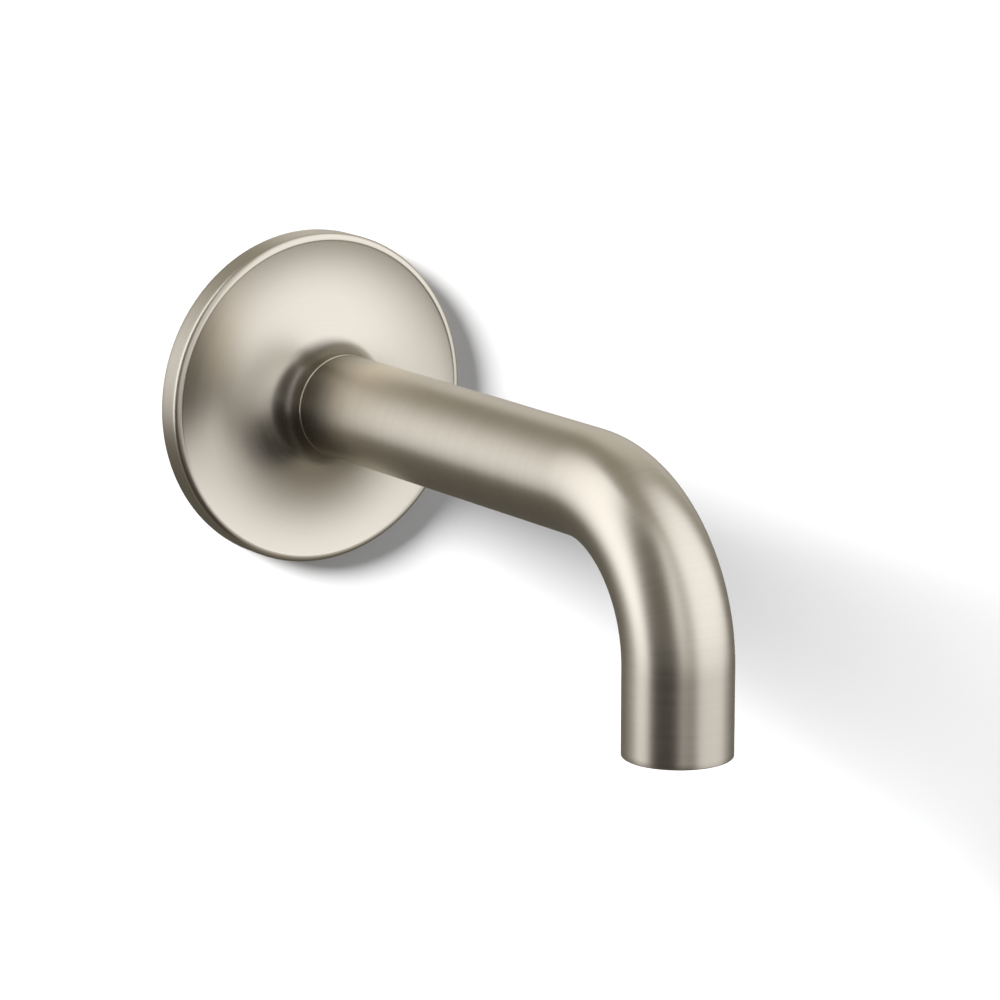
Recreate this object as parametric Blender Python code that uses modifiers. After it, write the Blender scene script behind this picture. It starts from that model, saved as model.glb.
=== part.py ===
"""Wall mounted bath spout: a bent tube that slides onto a threaded adapter behind a dished escutcheon.

Frame: the origin is the centre of the escutcheon's back, in the plane of the finished wall. +Z is up,
-Y points out of the wall towards the bath, +Y into the wall and X across. Lengths are in metres.

Two axes carry every turned piece. The supply axis runs out of the wall along -Y through the origin, and
a place on it is given as a distance out from the wall. The outlet axis is vertical, and a place on it is
given as a height, which is negative because the outlet hangs below the supply axis.
"""

import math

import bmesh
import bpy
from mathutils import Matrix, Vector

MM = 0.001
FIT = 0.3 * MM  # gap between neighbours that touch on the real object
OVERCUT = 1.0 * MM  # how far a cutter stands clear of what it cuts

# Driving dimensions
TUBE_RADIUS = 15.875 * MM
TUBE_WALL = 1.5 * MM
REACH = 196.85 * MM  # wall to the outlet axis
BEND_RADIUS = 44.45 * MM
DROP = 70.0 * MM  # supply axis down to the outlet's end
SEAM = 22.3 * MM  # wall to the joint between the escutcheon's collar and the tube
FLANGE_RADIUS = 51.6 * MM
THREAD_PITCH = 1.0 * MM  # of the outlet cartridge

# Escutcheon: its face is a wide hollow arc that meets a tight one, which turns it into the collar
RIM_SIDE = 6.9 * MM  # straight side of the rim, out from the wall
RIM_ROUND = (2.1 * MM, 1.8 * MM)
RIM_LAND = 0.05 * MM  # flat between the rim's round edge and the hollow face
DISH_LOW_RADIUS = 39.7 * MM  # where the face comes closest to the wall
DISH_LOW = 7.4 * MM
DISH_ARC = 38.1 * MM
ARCS_MEET = 30.0  # degrees of slope where the two arcs meet
SHELL_WALL = 2.2 * MM
POCKET_RADIUS = 42.0 * MM
GROOVE_OUTER = 49.0 * MM
GROOVE_INNER = 43.2 * MM
GROOVE_DEPTH = 2.5 * MM
POCKET_LIP = 0.8 * MM  # wall to the land between the pocket and the gasket's groove
COLLAR_BORE = 14.1 * MM
HUB_RADIUS = 17.2 * MM
HUB_BACK = 5.0 * MM

# Supply adapter
ADAPTER_BACK = 1.5 * MM
SOCKET_RADIUS = 10.1 * MM  # for a half inch pipe thread
SOCKET_END = 17.5 * MM
ADAPTER_STEP = 19.8 * MM
ADAPTER_REAR_RADIUS = 12.9 * MM
ADAPTER_BARREL_RADIUS = 10.6 * MM
ADAPTER_FRONT = 56.0 * MM
WATERWAY_RADIUS = 5.9 * MM
SOCKET_KEY_FLATS = 12.0 * MM
SOCKET_KEY_DEPTH = 12.0 * MM
SOCKET_CONE = 2.0 * MM  # length of the cone at the bottom of the pipe thread
ADAPTER_CHAMFER = 0.8 * MM

# Rings on the adapter: distance out from the wall, section radius and the groove's floor
SEAL_SECTION = 0.95 * MM
SEAL_FLOOR = 8.6 * MM
SEAL_PLACES = (("adapter_o_ring_rear", 39.0 * MM), ("adapter_o_ring_front", 48.0 * MM))
CENTRING_SECTION = 1.1 * MM
CENTRING_FLOOR = 11.4 * MM
CENTRING_PLACE = 13.0 * MM
GROOVE_SLACK = 0.35 * MM  # each side of a ring in its groove

# Inlet sleeve and the screw that clamps it to the adapter
SLEEVE_RADIUS = 14.0 * MM
SLEEVE_BORE = 11.1 * MM
SLEEVE_BACK = 22.9 * MM
SLEEVE_LIP = 56.5 * MM
SLEEVE_FRONT = 58.5 * MM
SLEEVE_LIP_RADIUS = 9.5 * MM
SCREW_PLACE = 30.0 * MM
SCREW_RADIUS = 2.5 * MM
SCREW_TIP = ADAPTER_BARREL_RADIUS + FIT
SCREW_END = 15.4 * MM
SCREW_KEY_FLATS = 2.5 * MM
SCREW_KEY_DEPTH = 2.4 * MM
SCREW_CHAMFER = 0.4 * MM

# Outlet bushing, on the outlet axis
BUSHING_RADIUS = 14.0 * MM
BUSHING_BORE = 12.3 * MM
BUSHING_SEAT_RADIUS = 10.0 * MM
BUSHING_BOTTOM = -69.3 * MM
BUSHING_SEAT = -53.5 * MM
BUSHING_TOP = -51.5 * MM

# Outlet cartridge, on the outlet axis
HOUSING_THREAD_RADIUS = 12.0 * MM
HOUSING_BODY_RADIUS = 11.3 * MM
HOUSING_BORE = 10.0 * MM
HOUSING_MOUTH = 8.9 * MM
HOUSING_BOTTOM = -68.7 * MM
HOUSING_THREAD_TOP = -64.2 * MM
HOUSING_FLOOR = -66.7 * MM
HOUSING_TOP = -55.7 * MM
KEY_SLOTS = 4
KEY_SLOT_WIDTH = 2.4 * MM
KEY_SLOT_LENGTH = 2.4 * MM
KEY_SLOT_DEPTH = 1.2 * MM
CORE_RADIUS = HOUSING_BORE - FIT
SCREEN_THICKNESS = 0.6 * MM
STRAIGHTENER_HEIGHT = 4.0 * MM
SPACER_HEIGHT = 1.5 * MM
SPACER_WIDTH = 1.3 * MM
DIFFUSER_THICKNESS = 1.2 * MM
GASKET_HEIGHT = 1.6 * MM
GASKET_OUTER = 11.7 * MM
GASKET_INNER = 9.0 * MM
SCREEN_HOLES = (1.1 * MM, 3.0 * MM)  # radius and pitch
CELLS = (1.25 * MM, 2.75 * MM)
DIFFUSER_HOLES = (1.0 * MM, 4.6 * MM)
HOLES_MARGIN = 0.8 * MM  # from the outermost holes to a disc's edge

# Facets
TURNED_STEPS = 48
SMALL_STEPS = 36
SEAL_TURN_STEPS = 32
TUBE_BEVEL_RESOLUTION = 22  # gives 48 sides
BEND_STEPS = 12
DISH_STEPS = 8
COLLAR_STEPS = 6
POCKET_STEPS = 5
ROUND_STEPS = 3
SEAL_STEPS = 8
HOLE_STEPS = 24
HEXAGON = 6
MERGE = 1e-5
SHARP = math.radians(35)

# Name: base colour, metallic, roughness
FINISHES = {
    "brushed_nickel": ((0.62, 0.57, 0.49), 1.0, 0.3),
    "brass": ((0.75, 0.55, 0.28), 1.0, 0.35),
    "stainless": ((0.6, 0.6, 0.6), 1.0, 0.3),
    "black_rubber": ((0.02, 0.02, 0.02), 0.0, 0.7),
    "grey_foam": ((0.16, 0.16, 0.17), 0.0, 0.9),
    "white_acetal": ((0.8, 0.8, 0.78), 0.0, 0.45),
    "grey_acetal": ((0.45, 0.46, 0.47), 0.0, 0.45),
}

OUT_OF_WALL = Matrix.Rotation(math.radians(90), 4, "X")  # turns local +Z to -Y
AT_OUTLET = Matrix.Translation((0, -REACH, 0))
AT_SCREW = Matrix.Translation((0, -SCREW_PLACE, 0))


def clear_scene():
    for obj in list(bpy.data.objects):
        bpy.data.objects.remove(obj)


def new_collection(name):
    collection = bpy.data.collections.new(name)
    bpy.context.scene.collection.children.link(collection)
    return collection


def material(name):
    made = bpy.data.materials.get(name)
    if made is None:
        colour, metallic, roughness = FINISHES[name]
        made = bpy.data.materials.new(name)
        made.use_nodes = True
        shader = made.node_tree.nodes["Principled BSDF"]
        shader.inputs["Base Color"].default_value = (*colour, 1.0)
        shader.inputs["Metallic"].default_value = metallic
        shader.inputs["Roughness"].default_value = roughness
    return made


def add_part(name, mesh, finish, place=None):
    """A named object of the model, with its material, at its place in the frame."""
    mesh.name = name
    obj = bpy.data.objects.new(name, mesh)
    obj.matrix_world = place or Matrix.Identity(4)
    PARTS.objects.link(obj)
    mesh.materials.append(material(finish))
    return obj


def add_cutter(bm, name, place=None):
    mesh = bpy.data.meshes.new(name)
    bm.to_mesh(mesh)
    bm.free()
    cutter = bpy.data.objects.new(name, mesh)
    cutter.matrix_world = place or Matrix.Identity(4)
    cutter.hide_render = True
    cutter.display_type = "WIRE"
    CUTTERS.objects.link(cutter)
    return cutter


def cut(obj, cutter):
    modifier = obj.modifiers.new("cut_" + cutter.name, "BOOLEAN")
    modifier.operation = "DIFFERENCE"
    modifier.object = cutter


def shade(obj):
    obj.data.shade_smooth()
    obj.data.set_sharp_from_angle(angle=SHARP)


def arc(centre, radii, start, end, steps):
    """Points on an elliptical arc about centre, from one angle to the other, in degrees."""
    points = []
    for i in range(steps + 1):
        angle = math.radians(start + (end - start) * i / steps)
        points.append((centre[0] + radii[0] * math.cos(angle), centre[1] + radii[1] * math.sin(angle)))
    return points


def turned(name, outline, finish, place, steps=TURNED_STEPS):
    """A closed outline of (radius, distance along the axis) turned about the local Z axis."""
    pairs = zip(outline, outline[1:] + outline[:1])
    area = sum(a[0] * b[1] - b[0] * a[1] for a, b in pairs)
    if area > 0:  # the Screw modifier needs the outer side to run downwards
        outline = outline[::-1]
    mesh = bpy.data.meshes.new(name)
    edges = [(i, (i + 1) % len(outline)) for i in range(len(outline))]
    mesh.from_pydata([(radius, 0, along) for radius, along in outline], edges, [])
    obj = add_part(name, mesh, finish, place)
    screw = obj.modifiers.new("turn", "SCREW")
    screw.axis = "Z"
    screw.angle = math.tau
    screw.steps = steps
    screw.render_steps = steps
    screw.use_merge_vertices = True
    screw.merge_threshold = MERGE
    screw.use_smooth_shade = True
    return obj


def ring(name, outer, inner, low, high, finish, place, steps=SMALL_STEPS):
    return turned(name, [(outer, low), (outer, high), (inner, high), (inner, low)], finish, place, steps)


def o_ring(name, along, floor, section):
    """A seal in a groove whose floor has the given radius, standing just clear of that floor."""
    bpy.ops.mesh.primitive_torus_add(
        major_radius=floor + FIT + section,
        minor_radius=section,
        major_segments=SEAL_TURN_STEPS,
        minor_segments=SEAL_STEPS,
    )
    made = bpy.context.object
    mesh = made.data
    bpy.data.objects.remove(made)
    seal = add_part(name, mesh, "black_rubber", OUT_OF_WALL @ Matrix.Translation((0, 0, along)))
    shade(seal)
    return seal


def prism(bm, radius, sides, low, high, at=(0, 0), turn=0.0):
    """A closed upright prism or cylinder added to bm."""
    place = Matrix.Translation((at[0], at[1], (low + high) / 2)) @ Matrix.Rotation(turn, 4, "Z")
    bmesh.ops.create_cone(
        bm,
        cap_ends=True,
        segments=sides,
        radius1=radius,
        radius2=radius,
        depth=high - low,
        matrix=place,
    )


def hexagon_radius(flats):
    return flats / math.sqrt(3)


def groove(wall, along, floor, section):
    """The four corners of a ring's groove in a barrel of radius wall."""
    half = section + GROOVE_SLACK
    return [(wall, along - half), (floor, along - half), (floor, along + half), (wall, along + half)]


def dish_arc(behind, start, end):
    """Centre, radius and angles, in degrees, of the dished face between two radii, or of a face behind it."""
    radius = DISH_ARC + behind
    centre = (DISH_LOW_RADIUS, DISH_LOW + DISH_ARC)
    first = math.degrees(math.acos((start - DISH_LOW_RADIUS) / radius))
    last = math.degrees(math.acos((end - DISH_LOW_RADIUS) / radius))
    return centre, (radius, radius), -first, -last


def dished_face():
    """The face from the rim to the collar."""
    slope = math.radians(ARCS_MEET)
    meet = DISH_LOW_RADIUS - DISH_ARC * math.sin(slope)
    face = arc(*dish_arc(0.0, FLANGE_RADIUS - RIM_ROUND[0] - RIM_LAND, meet), DISH_STEPS)
    tight = (meet - TUBE_RADIUS) / (1 - math.sin(slope))
    centre = (TUBE_RADIUS + tight, face[-1][1] + tight * math.cos(slope))
    return face + arc(centre, (tight, tight), -90 - ARCS_MEET, -180, COLLAR_STEPS)[1:]


def escutcheon():
    edge = arc((FLANGE_RADIUS - RIM_ROUND[0], RIM_SIDE), RIM_ROUND, 0, 90, ROUND_STEPS)
    front = [(FLANGE_RADIUS, 0.0), *edge, *dished_face(), (TUBE_RADIUS, SEAM), (COLLAR_BORE, SEAM)]
    pocket = arc(*dish_arc(SHELL_WALL, HUB_RADIUS, POCKET_RADIUS), POCKET_STEPS)
    back = [(COLLAR_BORE, HUB_BACK), (HUB_RADIUS, HUB_BACK), *pocket]
    back += [(POCKET_RADIUS, POCKET_LIP), (GROOVE_INNER, POCKET_LIP)]
    back += [(GROOVE_INNER, GROOVE_DEPTH), (GROOVE_OUTER, GROOVE_DEPTH), (GROOVE_OUTER, 0.0)]
    turned("escutcheon", front + back, "brushed_nickel", OUT_OF_WALL)
    gasket = (GROOVE_OUTER - FIT, GROOVE_INNER + FIT, 0.0, GROOVE_DEPTH - FIT)
    ring("wall_gasket", *gasket, "grey_foam", OUT_OF_WALL, TURNED_STEPS)


def supply_adapter():
    barrel = ADAPTER_BARREL_RADIUS
    outline = [(SOCKET_RADIUS + ADAPTER_CHAMFER, ADAPTER_BACK), (ADAPTER_REAR_RADIUS, ADAPTER_BACK)]
    outline += groove(ADAPTER_REAR_RADIUS, CENTRING_PLACE, CENTRING_FLOOR, CENTRING_SECTION)
    outline += [(ADAPTER_REAR_RADIUS, ADAPTER_STEP), (barrel, ADAPTER_STEP)]
    for _, place in SEAL_PLACES:
        outline += groove(barrel, place, SEAL_FLOOR, SEAL_SECTION)
    outline += [(barrel, ADAPTER_FRONT - ADAPTER_CHAMFER), (barrel - ADAPTER_CHAMFER, ADAPTER_FRONT)]
    outline += [(WATERWAY_RADIUS, ADAPTER_FRONT), (WATERWAY_RADIUS, SOCKET_END + SOCKET_CONE)]
    outline += [(SOCKET_RADIUS, SOCKET_END), (SOCKET_RADIUS, ADAPTER_BACK + ADAPTER_CHAMFER)]
    adapter = turned("supply_adapter", outline, "brass", OUT_OF_WALL, SMALL_STEPS)
    key = bmesh.new()
    radius = hexagon_radius(SOCKET_KEY_FLATS)
    prism(key, radius, HEXAGON, ADAPTER_FRONT - SOCKET_KEY_DEPTH, ADAPTER_FRONT + OVERCUT)
    cut(adapter, add_cutter(key, "adapter_key_socket", OUT_OF_WALL))
    for name, place in SEAL_PLACES:
        o_ring(name, place, SEAL_FLOOR, SEAL_SECTION)
    o_ring("escutcheon_o_ring", CENTRING_PLACE, CENTRING_FLOOR, CENTRING_SECTION)


def screw_hole(name, inner, outer):
    """A cutter for the clamping screw's hole through a wall between two radii, with running room."""
    bm = bmesh.new()
    prism(bm, SCREW_RADIUS + FIT, HOLE_STEPS, -outer - OVERCUT, -inner + OVERCUT)
    return add_cutter(bm, name, AT_SCREW)


def inlet_sleeve():
    outline = [(SLEEVE_RADIUS, SLEEVE_BACK), (SLEEVE_RADIUS, SLEEVE_FRONT)]
    outline += [(SLEEVE_LIP_RADIUS, SLEEVE_FRONT), (SLEEVE_LIP_RADIUS, SLEEVE_LIP)]
    outline += [(SLEEVE_BORE, SLEEVE_LIP), (SLEEVE_BORE, SLEEVE_BACK)]
    sleeve = turned("inlet_sleeve", outline, "brass", OUT_OF_WALL, SMALL_STEPS)
    cut(sleeve, screw_hole("sleeve_screw_hole", SLEEVE_BORE, SLEEVE_RADIUS))


def set_screw():
    bm = bmesh.new()
    prism(bm, SCREW_RADIUS, HOLE_STEPS, -SCREW_END, -SCREW_TIP)
    rims = [edge for edge in bm.edges if abs(edge.verts[0].co.z - edge.verts[1].co.z) < MERGE]
    bmesh.ops.bevel(bm, geom=rims, offset=SCREW_CHAMFER, segments=1, affect="EDGES")
    mesh = bpy.data.meshes.new("set_screw")
    bm.to_mesh(mesh)
    bm.free()
    screw = add_part("set_screw", mesh, "stainless", AT_SCREW)
    key = bmesh.new()
    radius = hexagon_radius(SCREW_KEY_FLATS)
    prism(key, radius, HEXAGON, -SCREW_END - OVERCUT, -SCREW_END + SCREW_KEY_DEPTH)
    cut(screw, add_cutter(key, "screw_key_socket", AT_SCREW))


def spout_path():
    """The tube's centreline: out of the wall, round the bend and down."""
    bend_start = REACH - BEND_RADIUS
    points = [Vector((0, -(SEAM + FIT), 0))]
    for i in range(BEND_STEPS + 1):
        angle = math.radians(90) * i / BEND_STEPS
        out = bend_start + BEND_RADIUS * math.sin(angle)
        down = BEND_RADIUS * (1 - math.cos(angle))
        points.append(Vector((0, -out, -down)))
    points.append(Vector((0, -REACH, -DROP)))
    return points


def spout_tube():
    curve = bpy.data.curves.new("spout_path", "CURVE")
    curve.dimensions = "3D"
    curve.bevel_depth = TUBE_RADIUS
    curve.bevel_resolution = TUBE_BEVEL_RESOLUTION
    path = spout_path()
    spline = curve.splines.new("POLY")
    spline.points.add(len(path) - 1)
    for point, place in zip(spline.points, path):
        point.co = (*place, 1.0)
    guide = bpy.data.objects.new("spout_path", curve)
    CUTTERS.objects.link(guide)
    graph = bpy.context.evaluated_depsgraph_get()
    mesh = bpy.data.meshes.new_from_object(guide.evaluated_get(graph))
    bpy.data.objects.remove(guide)
    tube = add_part("spout_tube", mesh, "brushed_nickel")
    wall = tube.modifiers.new("wall", "SOLIDIFY")
    wall.thickness = TUBE_WALL
    wall.offset = -1
    cut(tube, screw_hole("tube_screw_hole", TUBE_RADIUS - TUBE_WALL, TUBE_RADIUS))


def outlet_bushing():
    outline = [(BUSHING_RADIUS, BUSHING_BOTTOM), (BUSHING_RADIUS, BUSHING_TOP)]
    outline += [(BUSHING_SEAT_RADIUS, BUSHING_TOP), (BUSHING_SEAT_RADIUS, BUSHING_SEAT)]
    outline += [(BUSHING_BORE, BUSHING_SEAT), (BUSHING_BORE, BUSHING_BOTTOM)]
    turned("outlet_bushing", outline, "brass", AT_OUTLET, SMALL_STEPS)


def cartridge_housing():
    outline = [(HOUSING_MOUTH, HOUSING_BOTTOM), (HOUSING_THREAD_RADIUS, HOUSING_BOTTOM)]
    outline += [(HOUSING_THREAD_RADIUS, HOUSING_THREAD_TOP), (HOUSING_BODY_RADIUS, HOUSING_THREAD_TOP)]
    outline += [(HOUSING_BODY_RADIUS, HOUSING_TOP), (HOUSING_BORE, HOUSING_TOP)]
    outline += [(HOUSING_BORE, HOUSING_FLOOR), (HOUSING_MOUTH, HOUSING_FLOOR)]
    housing = turned("cartridge_housing", outline, "grey_acetal", AT_OUTLET, SMALL_STEPS)
    slots = bmesh.new()
    middle = (HOUSING_MOUTH + HOUSING_BORE) / 2
    for i in range(KEY_SLOTS):
        turn = Matrix.Rotation(math.tau * i / KEY_SLOTS, 4, "Z")
        size = Matrix.Diagonal((KEY_SLOT_LENGTH, KEY_SLOT_WIDTH, 2 * KEY_SLOT_DEPTH, 1))
        place = turn @ Matrix.Translation((middle, 0, HOUSING_BOTTOM)) @ size
        bmesh.ops.create_cube(slots, size=1, matrix=place)
    cut(housing, add_cutter(slots, "key_slots", AT_OUTLET))


def hexagonal_grid(pitch, reach):
    """Centres of a hexagonal grid that lie within reach of the middle."""
    count = int(reach / pitch) + 1
    row = pitch * math.sqrt(3) / 2
    centres = []
    for j in range(-count, count + 1):
        for i in range(-count, count + 1):
            centre = ((i + 0.5 * (j % 2)) * pitch, j * row)
            if math.hypot(*centre) <= reach:
                centres.append(centre)
    return centres


def perforated_disc(name, low, high, holes_size, finish):
    hole, pitch = holes_size
    disc = bmesh.new()
    prism(disc, CORE_RADIUS, SMALL_STEPS, low, high)
    mesh = bpy.data.meshes.new(name)
    disc.to_mesh(mesh)
    disc.free()
    obj = add_part(name, mesh, finish, AT_OUTLET)
    holes = bmesh.new()
    for centre in hexagonal_grid(pitch, CORE_RADIUS - hole - HOLES_MARGIN):
        prism(holes, hole, HEXAGON, low - OVERCUT, high + OVERCUT, centre, math.radians(30))
    cut(obj, add_cutter(holes, name + "_holes", AT_OUTLET))


def cartridge_core():
    """The stack inside the housing, from its floor up."""
    stack = (
        ("outlet_screen", SCREEN_THICKNESS, SCREEN_HOLES, "stainless"),
        ("flow_straightener", STRAIGHTENER_HEIGHT, CELLS, "white_acetal"),
        ("middle_screen", SCREEN_THICKNESS, SCREEN_HOLES, "stainless"),
        ("spacer_ring", SPACER_HEIGHT, None, "white_acetal"),
        ("diffuser_plate", DIFFUSER_THICKNESS, DIFFUSER_HOLES, "white_acetal"),
        ("inlet_screen", SCREEN_THICKNESS, SCREEN_HOLES, "stainless"),
    )
    low = HOUSING_FLOOR + FIT
    for name, height, holes_size, finish in stack:
        if holes_size:
            perforated_disc(name, low, low + height, holes_size, finish)
        else:
            ring(name, CORE_RADIUS, CORE_RADIUS - SPACER_WIDTH, low, low + height, finish, AT_OUTLET)
        low += height + FIT


def cartridge_gasket():
    """The seal between the top of the housing and the bushing's seat."""
    low = HOUSING_TOP + FIT
    high = low + GASKET_HEIGHT
    ring("cartridge_gasket", GASKET_OUTER, GASKET_INNER, low, high, "black_rubber", AT_OUTLET)


clear_scene()
PARTS = new_collection("wall_mounted_bath_spout")
CUTTERS = new_collection("cutters")
escutcheon()
supply_adapter()
inlet_sleeve()
set_screw()
spout_tube()
outlet_bushing()
cartridge_housing()
cartridge_core()
cartridge_gasket()
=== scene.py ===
"""Wall mounted bath spout in brushed nickel: its visible pieces, materials, light, stage and camera.

Lengths are in metres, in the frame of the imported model: the wall is the plane Y = 0, the spout reaches
out along -Y and +Z is up. The supply axis runs out of the wall through the origin. The outlet axis is
vertical, REACH in front of the wall. Turned pieces are outlines of (radius, distance along their axis).
"""

import math

import bmesh
import bpy
import numpy as np
from mathutils import Matrix, Vector


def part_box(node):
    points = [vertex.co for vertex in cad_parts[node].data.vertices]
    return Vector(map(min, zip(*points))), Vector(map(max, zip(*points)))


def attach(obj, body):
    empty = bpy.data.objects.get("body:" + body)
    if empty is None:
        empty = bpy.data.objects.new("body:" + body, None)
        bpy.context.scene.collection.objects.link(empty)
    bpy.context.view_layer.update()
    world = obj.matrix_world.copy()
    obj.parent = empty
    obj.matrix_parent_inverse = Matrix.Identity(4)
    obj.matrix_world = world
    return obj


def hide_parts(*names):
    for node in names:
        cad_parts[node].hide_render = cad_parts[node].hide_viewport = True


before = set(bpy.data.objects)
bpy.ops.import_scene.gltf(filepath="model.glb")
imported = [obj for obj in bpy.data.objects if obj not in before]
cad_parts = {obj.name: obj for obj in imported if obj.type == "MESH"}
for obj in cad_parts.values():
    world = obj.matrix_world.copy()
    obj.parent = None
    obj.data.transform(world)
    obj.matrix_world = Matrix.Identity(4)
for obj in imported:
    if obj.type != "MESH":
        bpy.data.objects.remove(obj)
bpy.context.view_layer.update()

MM = 0.001
TAU = math.tau

# The camera: a long lens to the left of the spout and a little above it
AZIMUTH = math.radians(-33.93)
ELEVATION = math.radians(12.74)
DISTANCE = 1.3971
LENS = 167.65
TARGET = (0.01922, -0.07938, -0.02130)


def low(node, axis):
    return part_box(node)[0][axis]


def high(node, axis):
    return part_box(node)[1][axis]


# Sizes read from the frame
X, Y, Z = 0, 1, 2
TUBE_RADIUS = (high("spout_tube", X) - low("spout_tube", X)) / 2
REACH = -low("spout_tube", Y) - TUBE_RADIUS
OUTLET = low("spout_tube", Z)
TUBE_START = -high("spout_tube", Y)
FLANGE_RADIUS = high("escutcheon", X)
SEAM = -low("escutcheon", Y)

# Sizes that a box can't give
TUBE_WALL = 1.5 * MM
BEND_RADIUS = 44.45 * MM
SEAM_ROUND = 0.4 * MM  # round edge of the collar at the seam
GASKET_FIT = 0.3 * MM  # clearance of the foam gasket in its groove
OVERCUT = 1.0 * MM  # how far a cutter stands clear of what it cuts
HEXAGON = 6

# Distances along the tube's centreline, from the wall
BEND_START = REACH - BEND_RADIUS
BEND_END = BEND_START + BEND_RADIUS * math.pi / 2
TUBE_END = BEND_END - OUTLET - BEND_RADIUS

# The set screw, the radius of the holes that it passes through, and its key socket
SCREW_PLACE = 30.0 * MM
SCREW_CLEARANCE = 2.8 * MM
KEY_RADIUS, KEY_DEPTH = 1.45 * MM, 2.4 * MM

# The seals round the supply adapter: distance out from the wall, and radius of the section
SEAL_PLACES = (("rear", 39.0 * MM), ("front", 48.0 * MM))
SEAL_SECTION = 0.95 * MM
CENTRING_PLACE, CENTRING_SECTION = 13.0 * MM, 1.1 * MM

# The outlet: pitch and depth of its thread, the slots for the cartridge's key, and the wire cloth
OUTLET_THREAD = (1.0 * MM, 0.55 * MM)
KEY_SLOTS, KEY_SLOT_SIDE = 4, 2.4 * MM
MESH_PITCH, WIRE_RADIUS, WIRE_SIDES = 0.85 * MM, 0.12 * MM, 6
WIRE_WAVE = 1.02 * WIRE_RADIUS  # how far a wire rises and falls

OUT_OF_WALL = Matrix.Rotation(math.radians(90), 4, "X")
AT_OUTLET = Matrix.Translation((0, -REACH, 0))
AT_SCREW = Matrix.Translation((0, -SCREW_PLACE, 0))


# ---------------------------------------------------------------- shapes


def arc(centre, radii, start, end, steps):
    """Points on an elliptical arc about centre, between two angles in degrees."""
    angles = np.radians(np.linspace(start, end, steps + 1))
    return [(centre[0] + radii[0] * math.cos(a), centre[1] + radii[1] * math.sin(a)) for a in angles]


def rounded(corners, steps=5):
    """A closed outline through corners. A corner given as (radius, along, fillet) is rounded."""
    points = []
    for i, corner in enumerate(corners):
        here = Vector(corner[:2])
        if len(corner) == 2:
            points.append(tuple(here))
            continue
        back = (Vector(corners[i - 1][:2]) - here).normalized()
        ahead = (Vector(corners[(i + 1) % len(corners)][:2]) - here).normalized()
        half = back.angle(ahead) / 2
        centre = here + (back + ahead).normalized() * (corner[2] / math.sin(half))
        first = here + back * (corner[2] / math.tan(half)) - centre
        last = here + ahead * (corner[2] / math.tan(half)) - centre
        turn = math.pi - 2 * half
        for k in range(steps + 1):
            f = k / steps
            spoke = (first * math.sin((1 - f) * turn) + last * math.sin(f * turn)) / math.sin(turn)
            points.append(tuple(centre + spoke))
    return points


def subdivided(outline, step):
    """The closed outline with extra points, so that no edge is longer than step."""
    points = []
    for here, there in zip(outline, outline[1:] + outline[:1]):
        here, there = np.array(here), np.array(there)
        count = max(1, math.ceil(np.linalg.norm(there - here) / step - 1e-6))
        points += [tuple(here + (there - here) * k / count) for k in range(count)]
    return points


def straight(place):
    """Maps a turned piece's own coordinates into the frame."""

    def put(points):
        matrix = np.array(place)
        return points @ matrix[:3, :3].T + matrix[:3, 3]

    return put


def along_tube(points):
    """The same for the tube: the third coordinate runs along its centreline from the wall."""
    across, up, along = points[..., 0], points[..., 1], points[..., 2]
    turn = np.clip((along - BEND_START) / BEND_RADIUS, 0, math.pi / 2)
    before = np.minimum(along, BEND_START)
    after = np.maximum(along - BEND_END, 0)
    out = before + BEND_RADIUS * np.sin(turn) + up * np.sin(turn)
    height = -BEND_RADIUS * (1 - np.cos(turn)) - after + up * np.cos(turn)
    return np.stack([across, -out, height], axis=-1)


def finish_mesh(mesh, angle=32):
    """Smooth shading, except across edges sharper than angle in degrees."""
    mesh.shade_smooth()
    mesh.set_sharp_from_angle(angle=math.radians(angle))


def add_object(mesh, angle=32):
    """An object for the mesh, with its faces turned outward."""
    bm = bmesh.new()
    bm.from_mesh(mesh)
    bmesh.ops.recalc_face_normals(bm, faces=bm.faces)
    bm.to_mesh(mesh)
    bm.free()
    obj = bpy.data.objects.new(mesh.name, mesh)
    bpy.context.scene.collection.objects.link(obj)
    finish_mesh(mesh, angle)
    return obj


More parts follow.
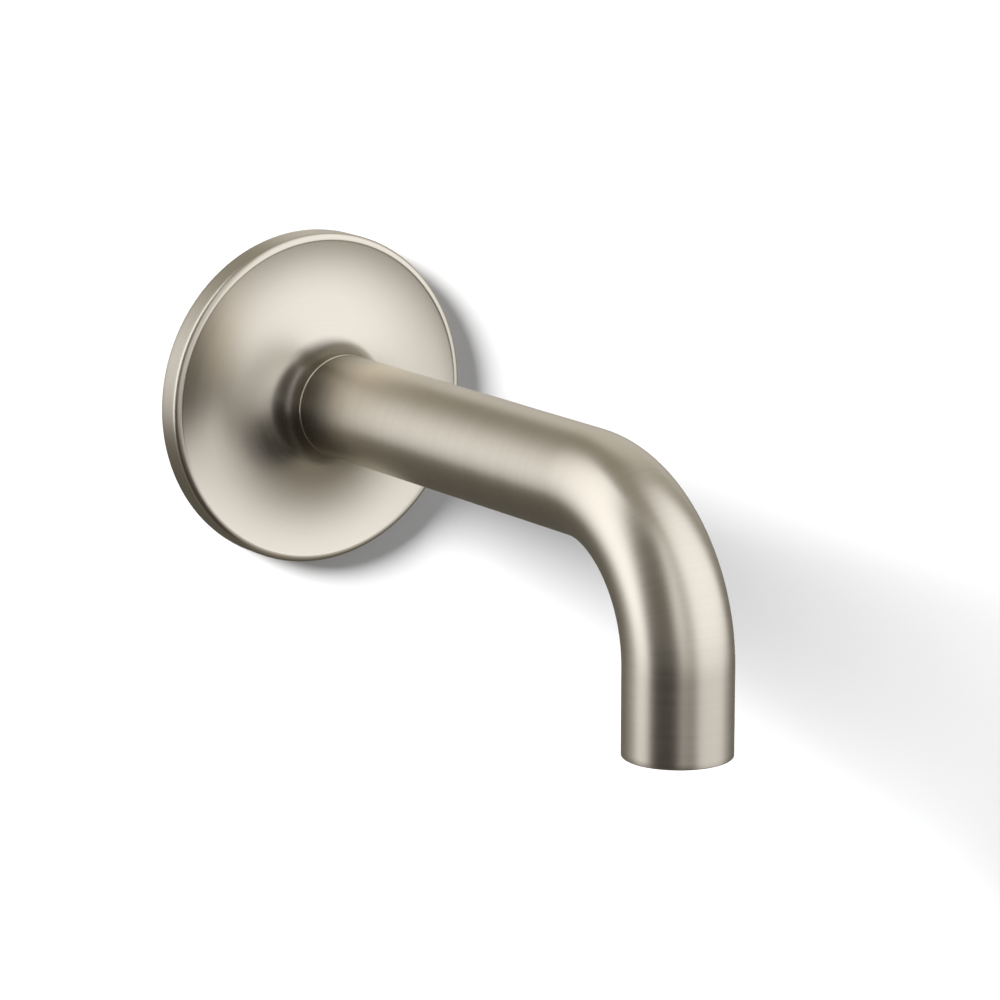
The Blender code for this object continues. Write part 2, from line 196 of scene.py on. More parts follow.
def turned(name, outline, put, segments=128, thread=None):
    """A closed outline turned about its axis. It carries a UV map, with U along the outline, and a point
    attribute called brush, which holds the place round the axis and the distance along the outline."""
    outline = np.array(outline)
    rows = len(outline)
    angles = np.linspace(0, TAU, segments, endpoint=False)
    radius = np.repeat(outline[:, :1], segments, axis=1)
    along = np.repeat(outline[:, 1:], segments, axis=1)
    if thread:
        radius = radius + thread(radius, along, angles[None, :])
    circle = np.stack([np.cos(angles), np.sin(angles)], axis=-1)
    points = np.concatenate([radius[..., None] * circle[None], along[..., None]], axis=-1)
    i, j = np.meshgrid(np.arange(rows), np.arange(segments), indexing="ij")
    i2, j2 = (i + 1) % rows, (j + 1) % segments
    corners = [(i, j), (i, j2), (i2, j2), (i2, j)]
    quads = np.stack([row * segments + column for row, column in corners], axis=-1)
    mesh = bpy.data.meshes.new(name)
    mesh.from_pydata(put(points).reshape(-1, 3).tolist(), [], quads.reshape(-1, 4).tolist())

    steps = np.linalg.norm(np.roll(outline, -1, axis=0) - outline, axis=1)
    run = np.concatenate([[0], np.cumsum(steps)])
    u = np.stack([run[i], run[i], run[i + 1], run[i + 1]], axis=-1)
    v = np.stack([j, j + 1, j + 1, j], axis=-1) / segments
    layer = mesh.uv_layers.new(name="UVMap")
    layer.data.foreach_set("uv", np.stack([u, v], axis=-1).ravel())
    brush = mesh.attributes.new("brush", "FLOAT_VECTOR", "POINT")
    spread = np.repeat(circle[None] * TUBE_RADIUS, rows, axis=0)
    lengths = np.repeat(run[:rows, None, None], segments, axis=1)
    brush.data.foreach_set("vector", np.concatenate([spread, lengths], axis=-1).ravel())

    return add_object(mesh)


def band(outer, inner, bottom, top, fillet):
    """The outline of a plain ring with round edges."""
    corners = ((outer, bottom), (outer, top), (inner, top), (inner, bottom))
    return rounded([(*corner, fillet) for corner in corners])


def helix(pitch, depth, start, end, runout, wall, inward):
    """The change of radius that cuts a thread into a wall of radius wall, from start to end along it."""

    def change(radius, along, angles):
        phase = (along / pitch - angles / TAU) % 1.0
        ridge = np.clip(np.abs(phase - 0.5) * 2.6 - 0.15, 0, 1)
        fade = np.clip((along - start) / runout, 0, 1) * np.clip((end - along) / runout, 0, 1)
        on_wall = np.abs(radius - wall) < 0.02 * MM
        return np.where(on_wall, (-depth if inward else depth) * ridge * fade, 0)

    return change


def prism(bm, radius, sides, bottom, top, mouth=0.0):
    """A closed upright prism, with its bottom widened by mouth, which leaves a chamfer where it cuts."""
    bmesh.ops.create_cone(
        bm,
        cap_ends=True,
        segments=sides,
        radius1=radius + mouth,
        radius2=radius,
        depth=top - bottom,
        matrix=Matrix.Translation((0, 0, (bottom + top) / 2)),
    )


def carve(obj, bm, place):
    """Cuts the shapes in bm out of obj."""
    bm.transform(place)
    mesh = bpy.data.meshes.new("cutter")
    bm.to_mesh(mesh)
    bm.free()
    cutter = bpy.data.objects.new("cutter", mesh)
    bpy.context.scene.collection.objects.link(cutter)
    modifier = obj.modifiers.new("cut", "BOOLEAN")
    modifier.operation = "DIFFERENCE"
    modifier.object = cutter
    graph = bpy.context.evaluated_depsgraph_get()
    cut = bpy.data.meshes.new_from_object(obj.evaluated_get(graph))
    obj.modifiers.clear()
    obj.data = cut
    bpy.data.objects.remove(cutter)
    finish_mesh(cut)


def stand_for(obj, node, body, look):
    """obj is the visible piece of a node: it rides on the node's body and takes its finish."""
    obj.data.materials.clear()
    obj.data.materials.append(look)
    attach(obj, body)
    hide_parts(node)


# ---------------------------------------------------------------- materials


class Look:
    """A material with its Principled shader, and short calls that add nodes to it."""

    def __init__(self, name, colour, metallic=0.0, roughness=0.5, anisotropy=0.0):
        self.material = bpy.data.materials.new(name)
        self.material.use_nodes = True
        self.nodes = self.material.node_tree.nodes
        self.links = self.material.node_tree.links
        self.shader = self.nodes["Principled BSDF"]
        values = {
            "Base Color": (*colour, 1.0),
            "Metallic": metallic,
            "Roughness": roughness,
            "Anisotropic": anisotropy,
        }
        for key, value in values.items():
            self.shader.inputs[key].default_value = value

    def node(self, kind, inputs=(), **settings):
        made = self.nodes.new(kind)
        for key, value in settings.items():
            setattr(made, key, value)
        for key, value in dict(inputs).items():
            if isinstance(value, bpy.types.NodeSocket):
                self.links.new(value, made.inputs[key])
            else:
                made.inputs[key].default_value = value
        return made

    def math(self, operation, *values):
        return self.node("ShaderNodeMath", dict(enumerate(values)), operation=operation).outputs[0]

    def place(self, scale, attribute="brush"):
        """Coordinates for a texture: the brush attribute or the object's own, stretched by scale."""
        if attribute == "brush":
            source = self.node("ShaderNodeAttribute", attribute_name="brush").outputs["Vector"]
        else:
            source = self.node("ShaderNodeTexCoord").outputs["Object"]
        return self.node("ShaderNodeVectorMath", {0: source, 1: scale}, operation="MULTIPLY").outputs[0]

    def noise(self, scale, attribute="brush", detail=3.0):
        settings = {"Scale": 1.0, "Detail": detail, "Roughness": 0.55}
        noise = self.node("ShaderNodeTexNoise", {"Vector": self.place(scale, attribute), **settings})
        return noise.outputs["Fac"]

    def blend(self, one, other, share):
        """The two values together, with share of the first."""
        rest = self.math("MULTIPLY", other, 1 - share)
        return self.math("ADD", self.math("MULTIPLY", one, share), rest)

    def spread(self, value, lowest, highest, start=0.3, end=0.7):
        """Runs smoothly from lowest to highest while value runs from start to end."""
        given = {"Value": value, "From Min": start, "From Max": end}
        inputs = {**given, "To Min": lowest, "To Max": highest}
        return self.node("ShaderNodeMapRange", inputs, interpolation_type="SMOOTHSTEP").outputs["Result"]

    def tint(self, value, dark, light, start=0.3, end=0.7):
        """Base colour that runs from dark to light with value."""
        ramp = self.node("ShaderNodeValToRGB", {"Fac": value})
        ramp.color_ramp.elements[0].position = start
        ramp.color_ramp.elements[1].position = end
        ramp.color_ramp.elements[0].color = (*dark, 1)
        ramp.color_ramp.elements[1].color = (*light, 1)
        self.links.new(ramp.outputs["Color"], self.shader.inputs["Base Color"])

    def roughness(self, value):
        self.links.new(value, self.shader.inputs["Roughness"])

    def bump(self, height, distance):
        made = self.node("ShaderNodeBump", {"Height": height, "Distance": distance, "Strength": 1.0})
        self.links.new(made.outputs["Normal"], self.shader.inputs["Normal"])

    def darken(self, share):
        """Scales the base colour by share."""
        colour = self.shader.inputs["Base Color"].links[0].from_socket
        scaled = self.node("ShaderNodeVectorMath", {0: colour, "Scale": share}, operation="SCALE")
        self.links.new(scaled.outputs[0], self.shader.inputs["Base Color"])

    def grain_along(self):
        """Turns the anisotropy so that the highlight spreads across the brushing."""
        tangent = self.node("ShaderNodeTangent", direction_type="UV_MAP", uv_map="UVMap")
        self.links.new(tangent.outputs["Tangent"], self.shader.inputs["Tangent"])


# Painted shade: the nickel's base colour is darkened round the collar's root and along the start of the
# tube, where the two meet
ROOT_PAINTED_SHADE = 0.38  # share of its brightness that the nickel keeps where the tube leaves the plate
PAINTED_SHADE_RING = (16.6 * MM, 21.0 * MM)  # radii between which the plate gets its brightness back
PAINTED_SHADE_LENGTH = 26.0 * MM  # length in which the tube does


def shades(colour, amount):
    """The colour darkened and lightened by amount."""
    return [channel * (1 - amount) for channel in colour], [channel * (1 + amount) for channel in colour]


def out_of_wall(look):
    """The distance out from the wall and from the supply axis."""
    x, y, z = look.node("ShaderNodeSeparateXYZ", {0: look.place((1, 1, 1), "object")}).outputs
    squares = look.math("ADD", look.math("MULTIPLY", x, x), look.math("MULTIPLY", z, z))
    return look.math("MULTIPLY", y, -1.0), look.math("SQRT", squares)


def collar_painted_shade(look):
    """Painted shade at the collar's root, where the tube leaves the plate. The edge at the seam stays
    bright.
    """
    out, radius = out_of_wall(look)
    edge = look.spread(out, 0.0, 1.0, SEAM - 1.5 * SEAM_ROUND, SEAM - 0.875 * SEAM_ROUND)
    return look.math("MAXIMUM", edge, look.spread(radius, ROOT_PAINTED_SHADE, 1.0, *PAINTED_SHADE_RING))


def tube_painted_shade(look):
    """Painted shade at the start of the tube, beside the collar."""
    out, _ = out_of_wall(look)
    return look.spread(out, ROOT_PAINTED_SHADE, 1.0, TUBE_START, TUBE_START + PAINTED_SHADE_LENGTH)


def brushed_nickel(name, lines, contrast, paint_shade):
    """Satin nickel brushed round the piece. lines is the height of the brush marks, contrast how far
    their colour varies, and paint_shade the function that paints shade into the base colour near the
    seam."""
    colour = (0.70, 0.635, 0.515)
    look = Look(name, colour, metallic=1.0, roughness=0.32, anisotropy=0.25)
    marks = look.noise((30, 30, 1500), detail=5.0)
    fine = look.noise((120, 120, 9000), detail=2.0)
    clouds = look.noise((55, 55, 55), "object", detail=2.0)
    both = look.blend(marks, fine, 0.7)
    look.tint(look.blend(both, clouds, 0.75), *shades(colour, contrast))
    # Painted shade: the base colour is darkened near the seam
    look.darken(paint_shade(look))
    look.roughness(look.spread(both, 0.30, 0.34))
    look.bump(both, lines)
    look.grain_along()
    return look.material


def machined(name, colour, roughness, mark=4e-6, spread=0.08):
    """Metal turned on a lathe: fine rings, and a slow drift of colour where it has dulled."""
    look = Look(name, colour, metallic=1.0, roughness=roughness, anisotropy=0.4)
    rings = look.noise((30, 30, 5200), detail=3.0)
    dull = look.noise((180, 180, 180), "object", detail=4.0)
    look.tint(look.blend(rings, dull, 0.4), *shades(colour, spread))
    look.roughness(look.spread(dull, roughness - 0.05, roughness + 0.1))
    look.bump(rings, mark)
    look.grain_along()
    return look.material


def moulded(name, colour, roughness, grain, height, spread=0.06):
    """Plastic or rubber with a fine skin and a slight drift of shade."""
    look = Look(name, colour, roughness=roughness)
    skin = look.noise((grain, grain, grain), "object", detail=4.0)
    drift = look.noise((220, 220, 220), "object", detail=2.0)
    look.tint(drift, *shades(colour, spread))
    look.roughness(look.spread(skin, roughness - 0.07, roughness + 0.07))
    look.bump(skin, height)
    return look.material


def foam(name):
    """Closed-cell foam: small round cells with darker walls between them."""
    cell, wall = (0.15, 0.15, 0.155), (0.05, 0.05, 0.055)
    look = Look(name, cell, roughness=0.95)
    place = look.place((2200, 2200, 2200), "object")
    cells = look.node("ShaderNodeTexVoronoi", {"Vector": place, "Scale": 1.0}).outputs["Distance"]
    look.tint(cells, cell, wall, 0.1, 0.75)
    look.bump(look.math("SUBTRACT", 1.0, cells), 0.12 * MM)
    return look.material


TUBE_NICKEL = brushed_nickel("brushed_nickel_tube", 3.6e-6, 0.045, tube_painted_shade)
PLATE_NICKEL = brushed_nickel("brushed_nickel_plate", 1.5e-6, 0.025, collar_painted_shade)
BRASS = machined("turned_brass", (0.74, 0.53, 0.26), 0.3)
STEEL = machined("stainless_steel", (0.58, 0.57, 0.55), 0.28, 2e-6, 0.05)
RUBBER = moulded("black_rubber", (0.022, 0.022, 0.023), 0.55, 9000, 6e-6, 0.2)
GREY_ACETAL = moulded("grey_acetal", (0.40, 0.41, 0.42), 0.42, 6000, 5e-6)
WHITE_ACETAL = moulded("white_acetal", (0.78, 0.77, 0.74), 0.42, 6000, 5e-6)
FOAM = foam("grey_foam")


# ---------------------------------------------------------------- pieces


def escutcheon():
    """The dished wall plate and its foam gasket. The plate's face is a wide hollow arc, and a tight one
    that turns it into the collar."""
    bore, hub, hub_back = 14.1 * MM, 17.2 * MM, 5.0 * MM
    pocket, lip, shell = 42.0 * MM, 0.8 * MM, 2.2 * MM
    groove_in, groove_out, groove_depth = 43.2 * MM, 49.0 * MM, 2.5 * MM
    rim_side, rim_round = 6.9 * MM, (2.1 * MM, 1.8 * MM)
    low_radius, lowest, wide, meet = 39.7 * MM, 7.4 * MM, 38.1 * MM, 30

    centre = (low_radius, lowest + wide)
    edge = FLANGE_RADIUS - rim_round[0]
    first = -math.degrees(math.acos((edge - 0.05 * MM - low_radius) / wide))
    face = arc(centre, (wide, wide), first, -90 - meet, 48)
    tight = (face[-1][0] - TUBE_RADIUS) / (1 - math.sin(math.radians(meet)))
    turn = (TUBE_RADIUS + tight, face[-1][1] + tight * math.cos(math.radians(meet)))
    face += arc(turn, (tight, tight), -90 - meet, -180, 24)[1:]
    behind = wide + shell
    start = -math.degrees(math.acos((hub - low_radius) / behind))
    end = -math.degrees(math.acos((pocket - low_radius) / behind))
    outline = rounded(
        [
            (bore, hub_back, 0.5 * MM),
            (hub, hub_back, 0.5 * MM),
            *arc(centre, (behind, behind), start, end, 24),
            (pocket, lip, 0.3 * MM),
            (groove_in, lip, 0.3 * MM),
            (groove_in, groove_depth),
            (groove_out, groove_depth),
            (groove_out, 0.0, 0.2 * MM),
            (FLANGE_RADIUS, 0.0, 0.35 * MM),
            *arc((edge, rim_side), rim_round, 0, 90, 16),
            *face,
            (TUBE_RADIUS, SEAM, SEAM_ROUND),
            (bore, SEAM, 0.3 * MM),
        ]
    )
    plate = turned("escutcheon_plate", subdivided(outline, 1.2 * MM), straight(OUT_OF_WALL), 256)
    stand_for(plate, "escutcheon", "escutcheon", PLATE_NICKEL)

    outer, inner, depth = groove_out - GASKET_FIT, groove_in + GASKET_FIT, groove_depth - GASKET_FIT
    ring = band(outer, inner, 0.0, depth, 0.4 * MM)
    gasket = turned("foam_gasket", subdivided(ring, 1 * MM), straight(OUT_OF_WALL), 160)
    stand_for(gasket, "wall_gasket", "escutcheon", FOAM)


def spout_tube():
    """The bent tube, with the hole for the set screw on its underside."""
    inner = TUBE_RADIUS - TUBE_WALL
    outline = rounded(
        [
            (TUBE_RADIUS, TUBE_START, 0.2 * MM),
            (TUBE_RADIUS, TUBE_END, 0.35 * MM),
            (inner, TUBE_END, 0.35 * MM),
            (inner, TUBE_START, 0.3 * MM),
        ]
    )
    tube = turned("bent_tube", subdivided(outline, 1.5 * MM), along_tube, 160)
    hole = bmesh.new()
    prism(hole, SCREW_CLEARANCE, 48, -TUBE_RADIUS - OVERCUT, -inner + OVERCUT)
    carve(tube, hole, AT_SCREW)
    stand_for(tube, "spout_tube", "spout", TUBE_NICKEL)


def set_screw():
    """A grub screw with a hexagon socket in its lower end and a cup point above."""
    end, tip = low("set_screw", Z), high("set_screw", Z)
    radius, axis, edge = 2.5 * MM, 0.05 * MM, 0.05 * MM
    chamfer, point, cup = 0.45 * MM, 0.6 * MM, 0.7 * MM
    pitch, depth, runout = 0.8 * MM, 0.4 * MM, 0.3 * MM
    outline = rounded(
        [
            (axis, end),
            (radius - chamfer, end, edge),
            (radius, end + chamfer),
            (radius, tip - point),
            (radius - cup, tip, edge),
            (axis, tip - cup),
        ]
    )
    thread = helix(pitch, depth, end + chamfer, tip - point, runout, radius, True)
    screw = turned("grub_screw", subdivided(outline, 0.08 * MM), straight(AT_SCREW), 72, thread)
    key = bmesh.new()
    prism(key, KEY_RADIUS, HEXAGON, end - 0.6 * MM, end + KEY_DEPTH, 0.12 * MM)
    carve(screw, key, AT_SCREW)
    stand_for(screw, "set_screw", "screw", STEEL)


def supply_adapter():
    """The brass body with its pipe socket, key socket and seals."""
    back, front = -high("supply_adapter", Y), -low("supply_adapter", Y)
    socket, socket_end, cone = 10.1 * MM, 17.5 * MM, 2.0 * MM
    rear, barrel, step, water = 12.9 * MM, 10.6 * MM, 19.8 * MM, 5.9 * MM
    chamfer, lead, edge = 0.8 * MM, 0.9 * MM, 0.4 * MM
    outline = [(socket, back + lead), (socket + chamfer, back, 0.15 * MM), (rear, back, edge)]
    outline += seal_groove(rear, CENTRING_PLACE, 11.4 * MM, CENTRING_SECTION)
    outline += [(rear, step, 0.5 * MM), (barrel, step, edge)]
    for _, place in SEAL_PLACES:
        outline += seal_groove(barrel, place, 8.6 * MM, SEAL_SECTION)
    outline += [(barrel, front - lead, edge), (barrel - chamfer, front, 0.3 * MM)]
    outline += [(water, front, 0.3 * MM), (water, socket_end + cone), (socket, socket_end)]
    points = subdivided(rounded(outline), 0.25 * MM)
    thread = helix(1.81 * MM, 1.1 * MM, back + 0.6 * MM, socket_end, 1.2 * MM, socket, False)
    body = turned("adapter_body", points, straight(OUT_OF_WALL), 96, thread)
    key = bmesh.new()
    flats, depth = 12.0 * MM, 12.0 * MM
    prism(key, flats / math.sqrt(3), HEXAGON, front - depth, front + OVERCUT)
    carve(body, key, OUT_OF_WALL)
    stand_for(body, "supply_adapter", "supply", BRASS)

    for name, place in SEAL_PLACES:
        seal("adapter_seal_" + name, "adapter_o_ring_" + name, place, 8.9 * MM, SEAL_SECTION)
    seal("escutcheon_seal", "escutcheon_o_ring", CENTRING_PLACE, 11.7 * MM, CENTRING_SECTION)


def seal_groove(wall, along, floor, section):
    """The corners of an O-ring's groove in a barrel of radius wall."""
    half = section + 0.35 * MM
    outer, inner = 0.15 * MM, 0.2 * MM
    return [
        (wall, along - half, outer),
        (floor, along - half, inner),
        (floor, along + half, inner),
        (wall, along + half, outer),
    ]


def seal(name, node, along, inside, section):
    """An O-ring of the given section radius and inside radius."""
    outline = arc((inside + section, along), (section, section), 0, 360, 40)[:-1]
    ring = turned(name, outline, straight(OUT_OF_WALL), 120)
    stand_for(ring, node, "supply", RUBBER)


def inlet_sleeve():
    """The brass sleeve in the tube's rear end, which slides over the adapter."""
    back, front = -high("inlet_sleeve", Y), -low("inlet_sleeve", Y)
    outer, bore, lip, mouth = 14.0 * MM, 11.1 * MM, 9.5 * MM, 12.0 * MM
    stop = front - 2.0 * MM
    outline = rounded(
        [
            (outer, back, 0.4 * MM),
            (outer, front, 0.5 * MM),
            (lip, front, 0.4 * MM),
            (lip, stop, 0.4 * MM),
            (bore, stop, 0.3 * MM),
            (bore, back + 1.2 * MM),
            (mouth, back, 0.2 * MM),
        ]
    )
    sleeve = turned("brass_sleeve", subdivided(outline, 0.8 * MM), straight(OUT_OF_WALL), 128)
    hole = bmesh.new()
    prism(hole, SCREW_CLEARANCE, 48, -outer - OVERCUT, -bore + OVERCUT)
    carve(sleeve, hole, AT_SCREW)
    stand_for(sleeve, "inlet_sleeve", "spout", BRASS)


def outlet_bushing():
    """The threaded brass ring in the tube's outlet, and the gasket that the cartridge seals on."""
    bottom, top = low("outlet_bushing", Z), high("outlet_bushing", Z)
    seat, thread_top = -53.5 * MM, -61.5 * MM
    outer, bore, inner = 14.0 * MM, 12.3 * MM, 10.0 * MM
    outline = rounded(
        [
            (outer, bottom, 0.3 * MM),
            (outer, top, 0.4 * MM),
            (inner, top, 0.4 * MM),
            (inner, seat, 0.3 * MM),
            (bore, seat),
            (bore, bottom + 0.5 * MM),
            (bore + 0.4 * MM, bottom, 0.1 * MM),
        ]
    )
    thread = helix(*OUTLET_THREAD, bottom + 0.3 * MM, thread_top, 0.6 * MM, bore, False)
    bushing = turned("threaded_bushing", subdivided(outline, 0.2 * MM), straight(AT_OUTLET), 128, thread)
    stand_for(bushing, "outlet_bushing", "spout", BRASS)

    base, face = low("cartridge_gasket", Z), high("cartridge_gasket", Z)
    ring = band(11.7 * MM, 9.0 * MM, base, face, 0.3 * MM)
    gasket = turned("rubber_gasket", subdivided(ring, 0.6 * MM), straight(AT_OUTLET), 128)
    stand_for(gasket, "cartridge_gasket", "spout", RUBBER)


def cartridge_housing():
    """The cartridge's screwed plastic shell, with slots for its key in the lower face."""
    bottom, top = low("cartridge_housing", Z), high("cartridge_housing", Z)
    crest, neck, bore, mouth = 12.0 * MM, 11.3 * MM, 10.0 * MM, 8.9 * MM
    shoulder, floor = -64.2 * MM, -66.7 * MM
    outline = rounded(
        [
            (mouth, bottom, 0.35 * MM),
            (crest - 0.45 * MM, bottom, 0.1 * MM),
            (crest, bottom + 0.5 * MM),
            (crest, shoulder - 0.4 * MM),
            (neck, shoulder, 0.1 * MM),
            (neck, top, 0.25 * MM),
            (bore, top, 0.25 * MM),
            (bore, floor, 0.2 * MM),
            (mouth, floor, 0.2 * MM),
        ]
    )
    thread = helix(*OUTLET_THREAD, bottom + 0.5 * MM, shoulder - 0.2 * MM, 0.4 * MM, crest, True)
    housing = turned("slotted_housing", subdivided(outline, 0.15 * MM), straight(AT_OUTLET), 160, thread)
    slots = bmesh.new()
    for i in range(KEY_SLOTS):
        turn = Matrix.Rotation(TAU * i / KEY_SLOTS, 4, "Z")
        place = Matrix.Translation(((mouth + bore) / 2, 0, bottom))
        bmesh.ops.create_cube(slots, size=KEY_SLOT_SIDE, matrix=turn @ place)
    carve(housing, slots, AT_OUTLET)
    stand_for(housing, "cartridge_housing", "housing", GREY_ACETAL)


def woven_wire(offset, reach, height, sign, lengthwise):
    """Points and faces of one wire of the cloth, which waves over and under the wires across it."""
    steps = max(4, 2 * int(4 * reach / MESH_PITCH))
    run = np.linspace(-reach, reach, steps + 1)
    rise = height + sign * WIRE_WAVE * np.cos(math.pi * run / MESH_PITCH)
    points = []
    for along, up in zip(run, rise):
        for i in range(WIRE_SIDES):
            angle = TAU * i / WIRE_SIDES
            across = offset + WIRE_RADIUS * math.cos(angle)
            x, y = (along, across) if lengthwise else (across, along)
            points.append((x, y - REACH, up + WIRE_RADIUS * math.sin(angle)))
    faces = [tuple(range(WIRE_SIDES)), tuple(range(steps * WIRE_SIDES, (steps + 1) * WIRE_SIDES))]
    for start in range(0, steps * WIRE_SIDES, WIRE_SIDES):
        for i in range(WIRE_SIDES):
            a, b = start + i, start + (i + 1) % WIRE_SIDES
            faces.append((a, b, b + WIRE_SIDES, a + WIRE_SIDES))
    return points, faces


def woven_screen(name, node):
    """Plain woven wire cloth inside a pressed rim."""
    bottom, top = low(node, Z), high(node, Z)
    middle, half = (bottom + top) / 2, (top - bottom) / 2 * 0.95
    rim, rim_width, tucked = 9.7 * MM, 0.8 * MM, 0.45 * MM
    count = int((rim - 0.5 * MM) / MESH_PITCH)
    points, faces = [], []
    for lengthwise in (True, False):
        for k in range(-count, count + 1):
            offset = k * MESH_PITCH
            reach = math.sqrt((rim - tucked) ** 2 - offset**2)
            sign = 1 if k % 2 == lengthwise else -1
            more, sides = woven_wire(offset, reach, middle, sign, lengthwise)
            faces += [tuple(len(points) + i for i in face) for face in sides]
            points += more
    mesh = bpy.data.meshes.new(name)
    mesh.from_pydata(points, [], faces)
    cloth = add_object(mesh, 60)
    outline = band(rim, rim - rim_width, middle - half, middle + half, 0.1 * MM)
    edge = turned(name + "_rim", outline, straight(AT_OUTLET), 128)
    for piece in (cloth, edge):
        stand_for(piece, node, "core", STEEL)


def moulded_core():
    """The plastic pieces inside the cartridge keep their solids, with a small bevel on sharp edges."""
    for node in ("flow_straightener", "spacer_ring", "diffuser_plate"):
        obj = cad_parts[node]
        obj.data.materials.clear()
        obj.data.materials.append(WHITE_ACETAL)
        bevel = obj.modifiers.new("soft_edges", "BEVEL")
        bevel.width = 0.08 * MM
        bevel.segments = 2
        bevel.limit_method = "ANGLE"
        bevel.angle_limit = math.radians(50)


escutcheon()
spout_tube()
set_screw()
supply_adapter()
inlet_sleeve()
outlet_bushing()
cartridge_housing()
for screen in ("outlet_screen", "middle_screen", "inlet_screen"):
    woven_screen(screen + "_cloth", screen)
moulded_core()


# ---------------------------------------------------------------- stage, light and camera


KEY_STRENGTH = 10.4
KEY_DIRECTION = (2.3, 1.0, -1.22)
KEY_SOFTNESS = math.radians(20)
BACKDROP = 1.0  # brightness of what the camera sees behind everything
FILL = 0.31  # plain light that reaches matt surfaces from all round
STAGE_GREY = (0.8, 0.8, 0.8)
WALL_GAP = 0.6 * MM  # keeps the stage wall clear of the plate's back
FLOOR = -1.1  # height of the stage floor, far below the spout


def stage_plane(name, size, place):
    """A pale plane that takes shadows. Only its front can be seen, so it hides nothing from behind."""
    bpy.ops.mesh.primitive_plane_add(size=size)
    plane = bpy.context.object
    plane.name = name
    plane.matrix_world = place
    look = Look(name, STAGE_GREY, roughness=1.0)
    look.shader.inputs["Specular IOR Level"].default_value = 0.0
    clear = look.node("ShaderNodeBsdfTransparent")
    side = look.node("ShaderNodeNewGeometry").outputs["Backfacing"]
    mix = look.node("ShaderNodeMixShader", {0: side, 1: look.shader.outputs[0], 2: clear.outputs[0]})
    look.links.new(mix.outputs[0], look.nodes["Material Output"].inputs["Surface"])
    plane.data.materials.append(look.material)
    for ray in ("diffuse", "glossy", "transmission", "shadow"):
        setattr(plane, "visible_" + ray, False)


def stage():
    stage_plane("wall", 4.0, Matrix.Translation((0, WALL_GAP, 0)) @ OUT_OF_WALL)
    stage_plane("floor", 8.0, Matrix.Translation((0, 0, FLOOR)))


def key_light():
    """Lights the wall from the upper left, so that the spout's soft shadow falls to the lower right."""
    light = bpy.data.lights.new("key", "SUN")
    light.energy = KEY_STRENGTH
    light.angle = KEY_SOFTNESS
    obj = bpy.data.objects.new("key", light)
    obj.rotation_mode = "QUATERNION"
    obj.rotation_quaternion = Vector(KEY_DIRECTION).to_track_quat("-Z", "Y")
    obj.visible_glossy = False
    bpy.context.scene.collection.objects.link(obj)


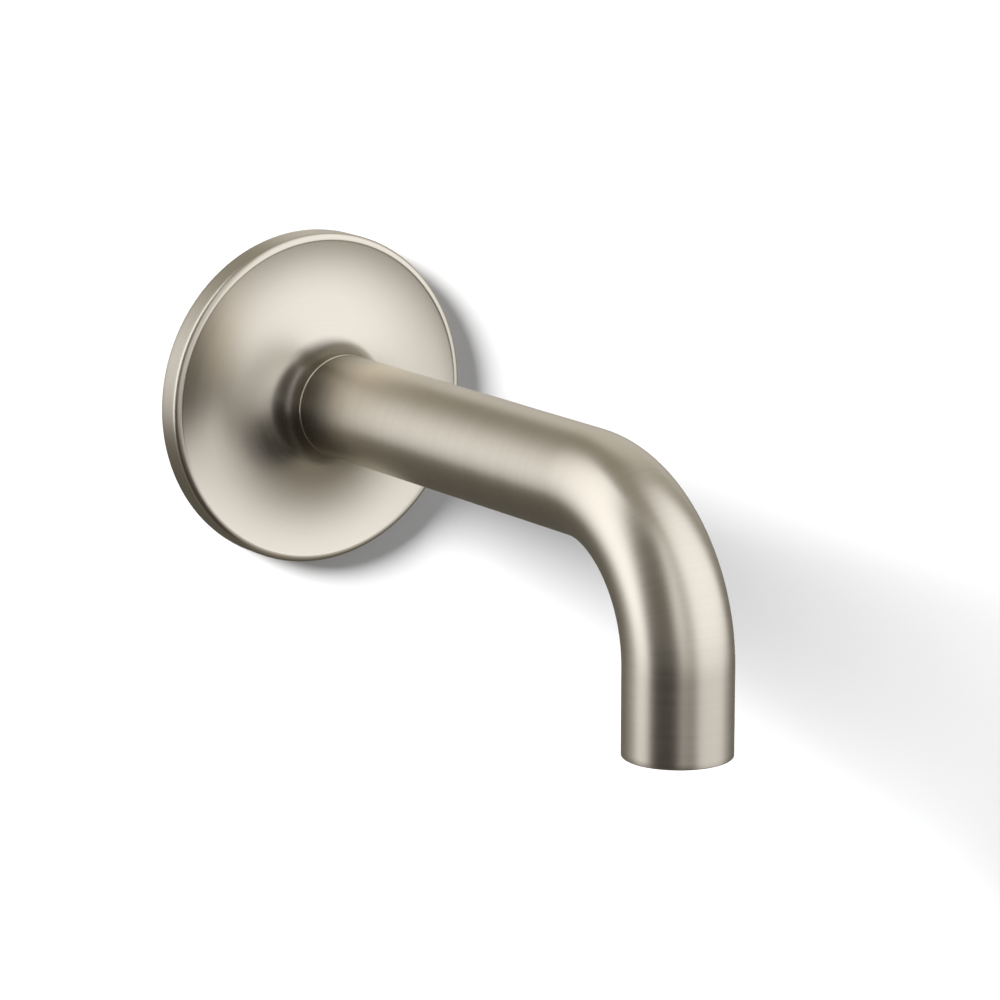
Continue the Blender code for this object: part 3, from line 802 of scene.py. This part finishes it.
class Dome:
    """The studio round the object: soft boxes on a dim dome, placed in degrees. Azimuth 0 is straight
    out of the wall and 90 to its right; elevation 90 is overhead."""

    def __init__(self):
        world = bpy.data.worlds.new("studio")
        bpy.context.scene.world = world
        world.use_nodes = True
        self.tree = world.node_tree
        self.tree.nodes.clear()
        self.direction = self.tree.nodes.new("ShaderNodeTexCoord").outputs["Generated"]
        split = self.tree.nodes.new("ShaderNodeSeparateXYZ")
        self.tree.links.new(self.direction, split.inputs[0])
        x, y, z = split.outputs
        turn = self.math("ARCTAN2", x, self.math("MULTIPLY", y, -1.0))
        self.azimuth = self.math("MULTIPLY", turn, 360 / TAU)
        self.elevation = self.math("MULTIPLY", self.math("ARCSINE", z), 360 / TAU)
        self.colour = None

    def math(self, operation, *values):
        node = self.tree.nodes.new("ShaderNodeMath")
        node.operation = operation
        for i, value in enumerate(values):
            if isinstance(value, bpy.types.NodeSocket):
                self.tree.links.new(value, node.inputs[i])
            else:
                node.inputs[i].default_value = value
        return node.outputs[0]

    def edge(self, value, at, soft):
        """Rises from 0 to 1 as value passes at; soft is the width in degrees and may be negative."""
        node = self.tree.nodes.new("ShaderNodeMapRange")
        node.interpolation_type = "SMOOTHERSTEP"
        self.tree.links.new(value, node.inputs["Value"])
        node.inputs["From Min"].default_value = at - abs(soft) / 2
        node.inputs["From Max"].default_value = at + abs(soft) / 2
        node.inputs["To Min"].default_value = 0.0 if soft > 0 else 1.0
        node.inputs["To Max"].default_value = 1.0 if soft > 0 else 0.0
        return node.outputs["Result"]

    def lay(self, mask, colour, under=(0, 0, 0)):
        """Covers what is there with colour where mask is 1. under is what the first layer covers."""
        mix = self.tree.nodes.new("ShaderNodeMix")
        mix.data_type = "RGBA"
        self.tree.links.new(mask, mix.inputs["Factor"])
        mix.inputs[6].default_value = (*under, 1)
        if self.colour:
            self.tree.links.new(self.colour, mix.inputs[6])
        mix.inputs[7].default_value = (*colour, 1)
        self.colour = mix.outputs[2]

    def box(self, azimuth, half_width, elevation, half_height, soft, colour):
        """A soft box: its middle, half its width and height and the width of its edges, in degrees."""
        away = self.math("WRAP", self.math("SUBTRACT", self.azimuth, azimuth), 180.0, -180.0)
        mask = self.edge(away, -half_width, soft[0])
        for value, at, width in (
            (away, half_width, -soft[0]),
            (self.elevation, elevation - half_height, soft[1]),
            (self.elevation, elevation + half_height, -soft[1]),
        ):
            mask = self.math("MULTIPLY", mask, self.edge(value, at, width))
        self.lay(mask, colour)

    def background(self, colour):
        node = self.tree.nodes.new("ShaderNodeBackground")
        if isinstance(colour, bpy.types.NodeSocket):
            self.tree.links.new(colour, node.inputs["Color"])
        else:
            node.inputs["Color"].default_value = (colour, colour, colour, 1)
        return node.outputs[0]

    def mix(self, factor, here, there):
        node = self.tree.nodes.new("ShaderNodeMixShader")
        for i, socket in enumerate((factor, here, there)):
            self.tree.links.new(socket, node.inputs[i])
        return node.outputs[0]

    def finish(self, backdrop, fill):
        """Polished surfaces reflect the soft boxes. The camera sees a plain backdrop, and matt
        surfaces get a plain fill light."""
        path = self.tree.nodes.new("ShaderNodeLightPath").outputs
        light = self.mix(path["Is Diffuse Ray"], self.background(self.colour), self.background(fill))
        light = self.mix(path["Is Camera Ray"], light, self.background(backdrop))
        output = self.tree.nodes.new("ShaderNodeOutputWorld")
        self.tree.links.new(light, output.inputs["Surface"])


def cool(value):
    return (0.95 * value, 0.98 * value, 1.08 * value)


def warm(value):
    return (1.06 * value, 1.0 * value, 0.88 * value)


def studio():
    """A dim room that is lighter above, with soft boxes and black flags in it."""
    dome = Dome()
    dome.lay(dome.edge(dome.elevation, 13, 32), warm(0.29), warm(0.23))
    dome.box(44, 44, 28, 48, (30, 70), cool(1.33))  # soft box in front, to the right
    dome.box(-84, 60, 22, 38, (70, 8), cool(1.73))  # soft box at the left
    dome.box(137, 21, 32, 30, (22, 23), (0.66, 0.65, 0.63))  # wall lit at the far right
    dome.box(-63, 33, -40, 43, (26, 20), warm(0.03))  # flag at the lower left
    dome.box(150, 80, -54, 42, (20, 56), warm(0.10))  # dark wall low on the right
    dome.box(-65, 30, 29, 31, (25, 23), warm(0.13))  # flag in the left soft box
    dome.box(-9, 16, -48, 30, (8, 33), warm(0.0))  # flag in front, below the spout
    dome.finish(BACKDROP, FILL)


def camera():
    data = bpy.data.cameras.new("camera")
    data.lens = LENS
    data.clip_start = 0.05
    obj = bpy.data.objects.new("camera", data)
    across = math.cos(ELEVATION)
    back = Vector((math.sin(AZIMUTH) * across, -math.cos(AZIMUTH) * across, math.sin(ELEVATION)))
    obj.location = Vector(TARGET) + back * DISTANCE
    obj.rotation_mode = "QUATERNION"
    obj.rotation_quaternion = (-back).to_track_quat("-Z", "Y")
    bpy.context.scene.collection.objects.link(obj)
    bpy.context.scene.camera = obj


stage()
key_light()
studio()
camera()
bpy.context.scene.view_settings.view_transform = "Standard"
